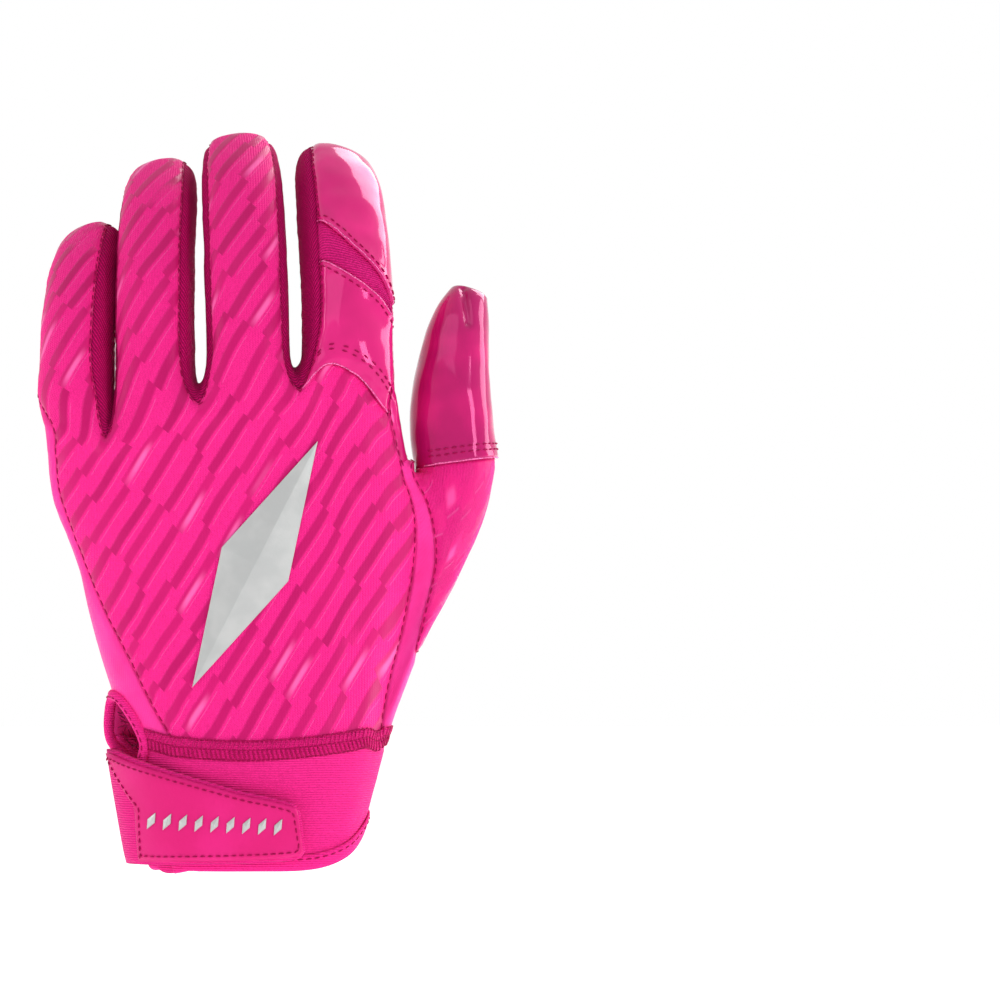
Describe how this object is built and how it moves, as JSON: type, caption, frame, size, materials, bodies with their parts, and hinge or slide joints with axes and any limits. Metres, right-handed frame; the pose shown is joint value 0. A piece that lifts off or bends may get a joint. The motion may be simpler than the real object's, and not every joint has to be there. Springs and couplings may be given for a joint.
{
  "type": "football receiver glove",
  "caption": "Worn-shape sports glove for a left hand, with a printed stretch back, glossy grip palm, ribbed finger sides, knit cuff and a wrist strap.",
  "frame": {"origin": "middle of the wrist opening, level with the hem", "axes": "+Z from the wrist opening to the fingertips, -Y out of the back of the hand, +X to the thumb side"},
  "size_m": [0.1236, 0.0607, 0.1995],
  "materials": {
    "printed_fabric": "fine knit with tone on tone dashes",
    "smooth_fabric": "smooth stretch fabric",
    "ribbed_mesh": "ribbed mesh",
    "grip_film": "glossy tacky film on a thin backing",
    "cuff_knit": "fine horizontal ribs over foam",
    "trim": "folded tape with stitches",
    "strap_film": "satin coated film with a stitched edge",
    "moulding": "satin, faceted"
  },
  "bodies": {
    "root": {"back_panel": "printed_fabric", "side_panel": "smooth_fabric", "palm_panel": "grip_film", "web_pinky_ring": "ribbed_mesh", "web_ring_middle": "ribbed_mesh", "web_middle_index": "ribbed_mesh", "index_patch": "grip_film", "index_knit": "ribbed_mesh", "index_tip_wrap": "grip_film", "thumb_gusset": "smooth_fabric", "thumb_base": "printed_fabric", "thumb_wrap": "grip_film", "cuff": "cuff_knit", "wrist_tape": "trim", "hem_binding": "trim", "slit_binding": "trim", "strap_band": "cuff_knit", "strap_face": "strap_film", "badge": "moulding"}
  },
  "joints": []
}
